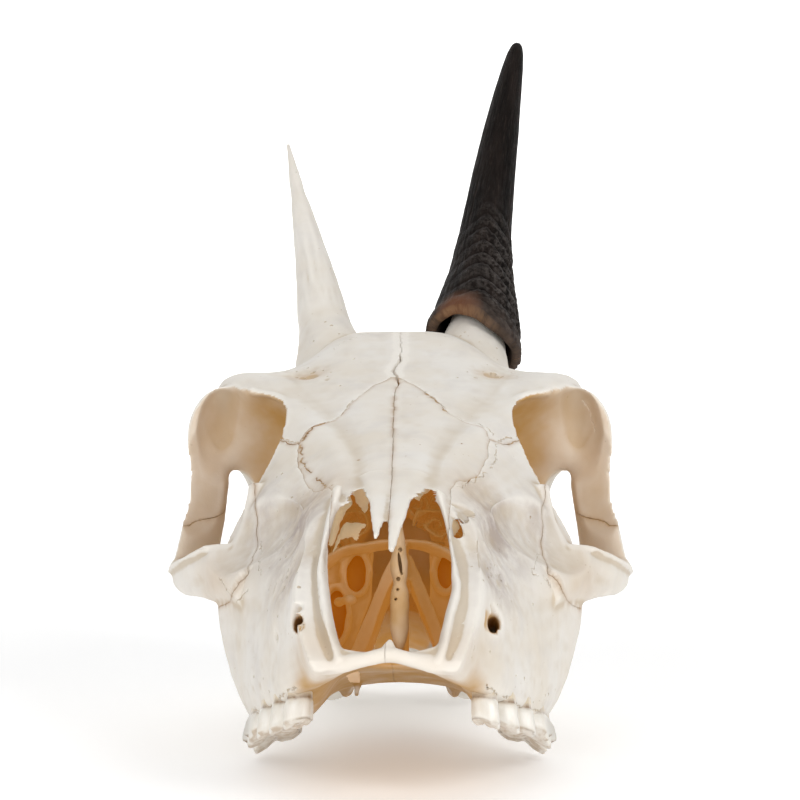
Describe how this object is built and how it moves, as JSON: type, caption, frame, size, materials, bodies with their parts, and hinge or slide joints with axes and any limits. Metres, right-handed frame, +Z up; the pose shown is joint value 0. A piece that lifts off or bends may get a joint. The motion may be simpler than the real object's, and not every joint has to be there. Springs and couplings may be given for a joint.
{
  "type": "duiker skull",
  "caption": "Bleached skull of a common duiker at life size, lower jaw absent: a dark horn sheath on the left core, the right core bare, cheek teeth in place; a still display piece.",
  "frame": {"origin": "middle of the skull's bounding box in plan, at floor level, where the last cheek teeth and the paroccipital processes rest", "axes": "+Z up, -Y the way the nose points, +X the animal's left, which is the side that keeps its horn sheath"},
  "size_m": [0.0826, 0.1903, 0.13],
  "materials": {
    "braincase": "dry bleached bone",
    "ethmoid": "dry bleached bone",
    "frontal_left": "dry bleached bone",
    "frontal_right": "dry bleached bone",
    "horn_core_left": "dry bleached bone",
    "horn_core_right": "dry bleached bone",
    "horn_sheath_left": "dull fibrous horn",
    "maxilla_left": "dry bleached bone",
    "maxilla_right": "dry bleached bone",
    "nasal_left": "dry bleached bone",
    "nasal_right": "dry bleached bone",
    "vomer": "dry bleached bone",
    "zygomatic_left": "dry bleached bone",
    "zygomatic_right": "dry bleached bone"
  },
  "bodies": {
    "root": {"braincase": "braincase", "ethmoid": "ethmoid", "frontal_left": "frontal_left", "frontal_right": "frontal_right", "horn_core_left": "horn_core_left", "horn_core_right": "horn_core_right", "horn_sheath_left": "horn_sheath_left", "maxilla_left": "maxilla_left", "maxilla_right": "maxilla_right", "nasal_left": "nasal_left", "nasal_right": "nasal_right", "vomer": "vomer", "zygomatic_left": "zygomatic_left", "zygomatic_right": "zygomatic_right"}
  },
  "joints": []
}
